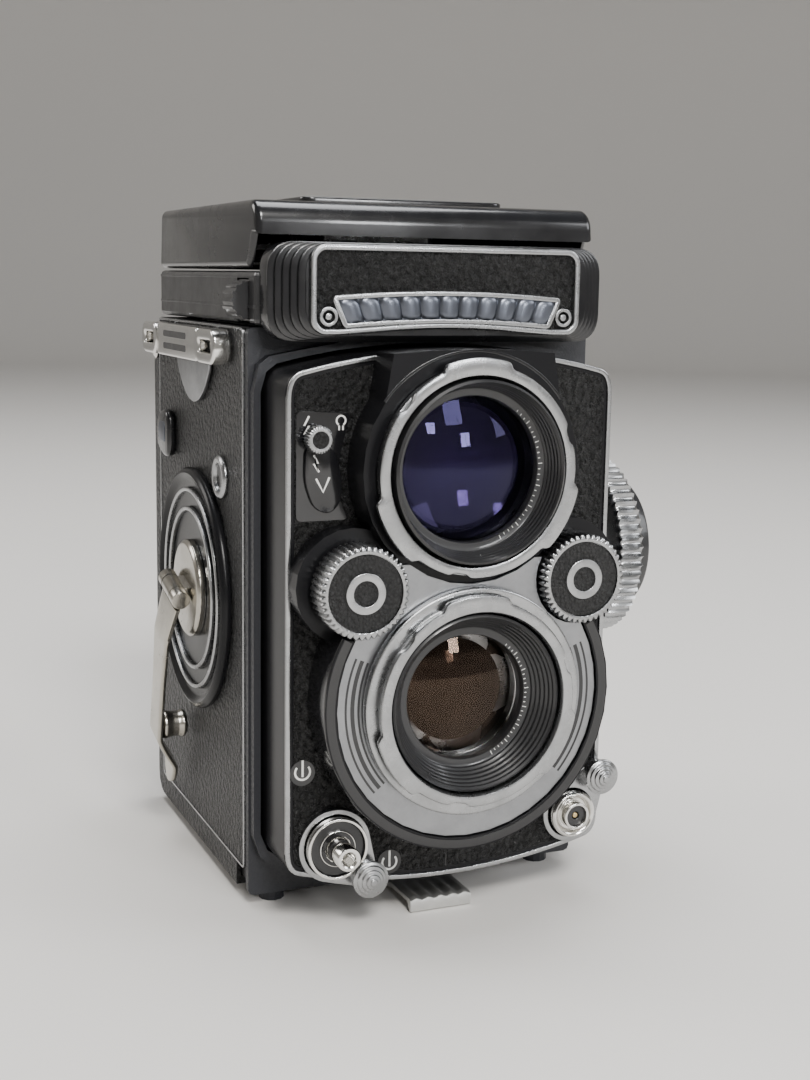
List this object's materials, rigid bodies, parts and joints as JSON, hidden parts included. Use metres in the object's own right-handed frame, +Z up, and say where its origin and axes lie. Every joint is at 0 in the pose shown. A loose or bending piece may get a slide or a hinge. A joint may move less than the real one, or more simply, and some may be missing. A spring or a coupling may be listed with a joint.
{
  "type": "twin lens reflex camera",
  "caption": "Twin lens reflex roll film camera with folding viewing hood, meter front, focusing knob, winding crank, hinged back and strap brackets.",
  "frame": {"origin": "centre of the overall bounding box in X and Y, at the bottom of the feet", "axes": "+X to the right as the camera is faced, +Y from the lenses to the back, +Z up"},
  "size_m": [0.104, 0.1094, 0.1508],
  "materials": {
    "black_enamel": "gloss",
    "crinkle_black": "crinkle",
    "black_leatherette": "pebbled",
    "matt_black": "matt black paint",
    "chrome": "polished",
    "satin_chrome": "satin",
    "steel": "brushed",
    "brass": "plain",
    "coated_glass": "coated",
    "coated_glass_amber": "coated",
    "silvered_glass": "polished",
    "ground_glass": "ground"
  },
  "bodies": {
    "camera_body": {"body_casting": "matt_black", "front_panel": "crinkle_black", "side_cover_left": "black_leatherette", "side_cover_right": "black_leatherette", "film_gate": "matt_black", "reflex_mirror": "silvered_glass", "focusing_screen": "ground_glass", "hood_base": "black_enamel", "meter_housing": "black_enamel", "meter_frame": "satin_chrome", "meter_window": "coated_glass", "strap_lug_left": "chrome", "strap_lug_right": "chrome", "crank_plate": "black_enamel", "door_hinge_pin": "chrome"},
    "front_standard": {"lens_board": "black_leatherette", "front_cover": "black_enamel", "face_plate": "satin_chrome", "viewing_barrel": "matt_black", "taking_barrel": "matt_black", "viewing_bayonet": "satin_chrome", "taking_bayonet": "satin_chrome", "viewing_lens": "coated_glass", "taking_lens": "coated_glass_amber", "shutter_housing": "black_enamel", "sync_socket": "chrome"},
    "focus_drive": {"focus_knob": "satin_chrome", "focus_shaft": "steel"},
    "crank": {"crank_hub": "chrome", "crank_gear": "brass"},
    "crank_arm": {"crank_arm": "chrome"},
    "crank_handle": {"crank_handle": "chrome"},
    "idler": {"idler_gear": "brass"},
    "takeup": {"takeup_gear": "brass", "takeup_spool": "matt_black"},
    "supply": {"supply_spool": "matt_black"},
    "roller_lower": {"film_roller_lower": "steel"},
    "roller_upper": {"film_roller_upper": "steel"},
    "spool_knob_lower": {"spool_knob_lower": "chrome"},
    "spool_knob_upper": {"spool_knob_upper": "chrome"},
    "hood_lid": {"hood_lid": "black_enamel"},
    "hood_leaf_left": {"hood_leaf_left": "black_enamel"},
    "hood_leaf_right": {"hood_leaf_right": "black_enamel"},
    "hood_leaf_back": {"hood_leaf_back": "black_enamel"},
    "hood_release_wheel": {"hood_release_wheel": "black_enamel"},
    "aperture_wheel": {"aperture_wheel": "satin_chrome"},
    "shutter_wheel": {"shutter_wheel": "satin_chrome"},
    "release_button": {"release_button": "chrome"},
    "release_lock_lever": {"release_lock_lever": "satin_chrome"},
    "socket_lock_lever": {"socket_lock_lever": "satin_chrome"},
    "sync_lever": {"sync_lever": "black_enamel"},
    "back_door": {"back_door": "black_leatherette", "tripod_bush": "steel"},
    "pressure_plate": {"pressure_plate": "matt_black"},
    "latch_lever": {"latch_lever": "satin_chrome"},
    "shutter_blade_1": {"shutter_blade_1": "steel"},
    "shutter_blade_2": {"shutter_blade_2": "steel"},
    "shutter_blade_3": {"shutter_blade_3": "steel"},
    "shutter_blade_4": {"shutter_blade_4": "steel"},
    "shutter_blade_5": {"shutter_blade_5": "steel"}
  },
  "joints": [
    {"name": "focus_turn", "type": "hinge", "parent": "camera_body", "child": "focus_drive", "pos_m": [0.04095, -0.01215, 0.0734], "axis": [1, 0, 0], "range_deg": [0, 300]},
    {"name": "standard_slide", "type": "slide", "parent": "camera_body", "child": "front_standard", "axis": [0, -1, 0], "range_m": [0, 0.0065]},
    {"name": "crank_turn", "type": "hinge", "parent": "camera_body", "child": "crank", "pos_m": [-0.04195, 0.01455, 0.0631], "axis": [1, 0, 0], "range_deg": [0, 270]},
    {"name": "idler_turn", "type": "hinge", "parent": "camera_body", "child": "idler", "pos_m": [-0.04195, 0.02689, 0.08009], "axis": [1, 0, 0], "range_deg": [-300, 0]},
    {"name": "takeup_turn", "type": "hinge", "parent": "camera_body", "child": "takeup", "pos_m": [-0.04195, 0.03718, 0.09425], "axis": [1, 0, 0], "range_deg": [0, 397]},
    {"name": "crank_unfold", "type": "hinge", "parent": "crank", "child": "crank_arm", "pos_m": [-0.04905, 0.01455, 0.0631], "axis": [0, 0.9659, 0.2588], "range_deg": [0, 175]},
    {"name": "handle_spin", "type": "hinge", "parent": "crank_arm", "child": "crank_handle", "pos_m": [-0.04905, 0.02387, 0.02833], "axis": [1, 0, 0], "continuous": true},
    {"name": "supply_spin", "type": "hinge", "parent": "camera_body", "child": "supply", "pos_m": [-0.00405, -0.00145, 0.0195], "axis": [1, 0, 0], "continuous": true},
    {"name": "roller_lower_spin", "type": "hinge", "parent": "camera_body", "child": "roller_lower", "pos_m": [-0.00405, 0.04275, 0.0175], "axis": [1, 0, 0], "continuous": true},
    {"name": "roller_upper_spin", "type": "hinge", "parent": "camera_body", "child": "roller_upper", "pos_m": [-0.00405, 0.04275, 0.0809], "axis": [1, 0, 0], "continuous": true},
    {"name": "spool_knob_lower_pull", "type": "slide", "parent": "camera_body", "child": "spool_knob_lower", "axis": [1, 0, 0], "range_m": [0, 0.005]},
    {"name": "spool_knob_upper_pull", "type": "slide", "parent": "camera_body", "child": "spool_knob_upper", "axis": [1, 0, 0], "range_m": [0, 0.005]},
    {"name": "hood_lid_turn", "type": "hinge", "parent": "camera_body", "child": "hood_lid", "pos_m": [-0.00405, -0.02395, 0.1433], "axis": [1, 0, 0], "range_deg": [0, 86]},
    {"name": "leaf_left_turn", "type": "hinge", "parent": "camera_body", "child": "hood_leaf_left", "pos_m": [-0.04005, 0.01255, 0.1372], "axis": [0, -1, 0], "range_deg": [0, 90.1]},
    {"name": "leaf_right_turn", "type": "hinge", "parent": "camera_body", "child": "hood_leaf_right", "pos_m": [0.03195, 0.01255, 0.1372], "axis": [0, 1, 0], "range_deg": [0, 90.1]},
    {"name": "leaf_back_turn", "type": "hinge", "parent": "camera_body", "child": "hood_leaf_back", "pos_m": [-0.00405, 0.04835, 0.1407], "axis": [-1, 0, 0], "range_deg": [0, 90.1]},
    {"name": "hood_wheel_turn", "type": "hinge", "parent": "camera_body", "child": "hood_release_wheel", "pos_m": [-0.04165, -0.01765, 0.1292], "axis": [0, 1, 0], "range_deg": [0, 90]},
    {"name": "aperture_turn", "type": "hinge", "parent": "front_standard", "child": "aperture_wheel", "pos_m": [-0.02815, -0.04585, 0.0736], "axis": [0, 1, 0], "range_deg": [0, 120]},
    {"name": "speed_turn", "type": "hinge", "parent": "front_standard", "child": "shutter_wheel", "pos_m": [0.02005, -0.04585, 0.0736], "axis": [0, 1, 0], "range_deg": [0, 150]},
    {"name": "release_press", "type": "slide", "parent": "front_standard", "child": "release_button", "axis": [0, 1, 0], "range_m": [0, 0.003], "stiffness_N_per_m": 300, "springref_m": -0.002},
    {"name": "blade_1_turn", "type": "hinge", "parent": "front_standard", "child": "shutter_blade_1", "pos_m": [0.01235, -0.03945, 0.04955], "axis": [0, 1, 0], "range_deg": [0, 62.1]},
    {"name": "blade_2_turn", "type": "hinge", "parent": "front_standard", "child": "shutter_blade_2", "pos_m": [0.00102, -0.03873, 0.06515], "axis": [0, 1, 0], "range_deg": [0, 62.1]},
    {"name": "blade_3_turn", "type": "hinge", "parent": "front_standard", "child": "shutter_blade_3", "pos_m": [-0.01732, -0.03801, 0.05919], "axis": [0, 1, 0], "range_deg": [0, 62.1]},
    {"name": "blade_4_turn", "type": "hinge", "parent": "front_standard", "child": "shutter_blade_4", "pos_m": [-0.01732, -0.03729, 0.03991], "axis": [0, 1, 0], "range_deg": [0, 62.1]},
    {"name": "blade_5_turn", "type": "hinge", "parent": "front_standard", "child": "shutter_blade_5", "pos_m": [0.00102, -0.03657, 0.03395], "axis": [0, 1, 0], "range_deg": [0, 62.1]},
    {"name": "release_lock_turn", "type": "hinge", "parent": "front_standard", "child": "release_lock_lever", "pos_m": [-0.02985, -0.04015, 0.0184], "axis": [0, 1, 0], "range_deg": [0, 150]},
    {"name": "socket_lock_turn", "type": "hinge", "parent": "front_standard", "child": "socket_lock_lever", "pos_m": [0.02515, -0.04015, 0.019], "axis": [0, -1, 0], "range_deg": [0, 25]},
    {"name": "sync_turn", "type": "hinge", "parent": "front_standard", "child": "sync_lever", "pos_m": [-0.03245, -0.04015, 0.0908], "axis": [0, 1, 0], "range_deg": [0, 15]},
    {"name": "door_turn", "type": "hinge", "parent": "camera_body", "child": "back_door", "pos_m": [-0.00405, 0.05255, 0.1159], "axis": [1, 0, 0], "range_deg": [0, 100]},
    {"name": "plate_press", "type": "slide", "parent": "back_door", "child": "pressure_plate", "axis": [0, 1, 0], "range_m": [0, 0.0015], "stiffness_N_per_m": 600, "springref_m": -0.001},
    {"name": "latch_turn", "type": "hinge", "parent": "back_door", "child": "latch_lever", "pos_m": [-0.00405, -0.00645, 0.0012], "axis": [1, 0, 0], "range_deg": [0, 90]}
  ],
  "couplings": [
    {"joint": "focus_turn", "follows": "standard_slide", "rad_per_m": 805.5},
    {"joint": "idler_turn", "follows": "crank_turn", "ratio": -1.1},
    {"joint": "takeup_turn", "follows": "crank_turn", "ratio": 1.4667},
    {"joint": "leaf_left_turn", "follows": "hood_lid_turn", "ratio": 1.0465},
    {"joint": "leaf_right_turn", "follows": "hood_lid_turn", "ratio": 1.0465},
    {"joint": "leaf_back_turn", "follows": "hood_lid_turn", "ratio": 1.0465},
    {"joint": "blade_1_turn", "follows": "release_press", "rad_per_m": 360.7},
    {"joint": "blade_2_turn", "follows": "release_press", "rad_per_m": 360.7},
    {"joint": "blade_3_turn", "follows": "release_press", "rad_per_m": 360.7},
    {"joint": "blade_4_turn", "follows": "release_press", "rad_per_m": 360.7},
    {"joint": "blade_5_turn", "follows": "release_press", "rad_per_m": 360.7}
  ]
}
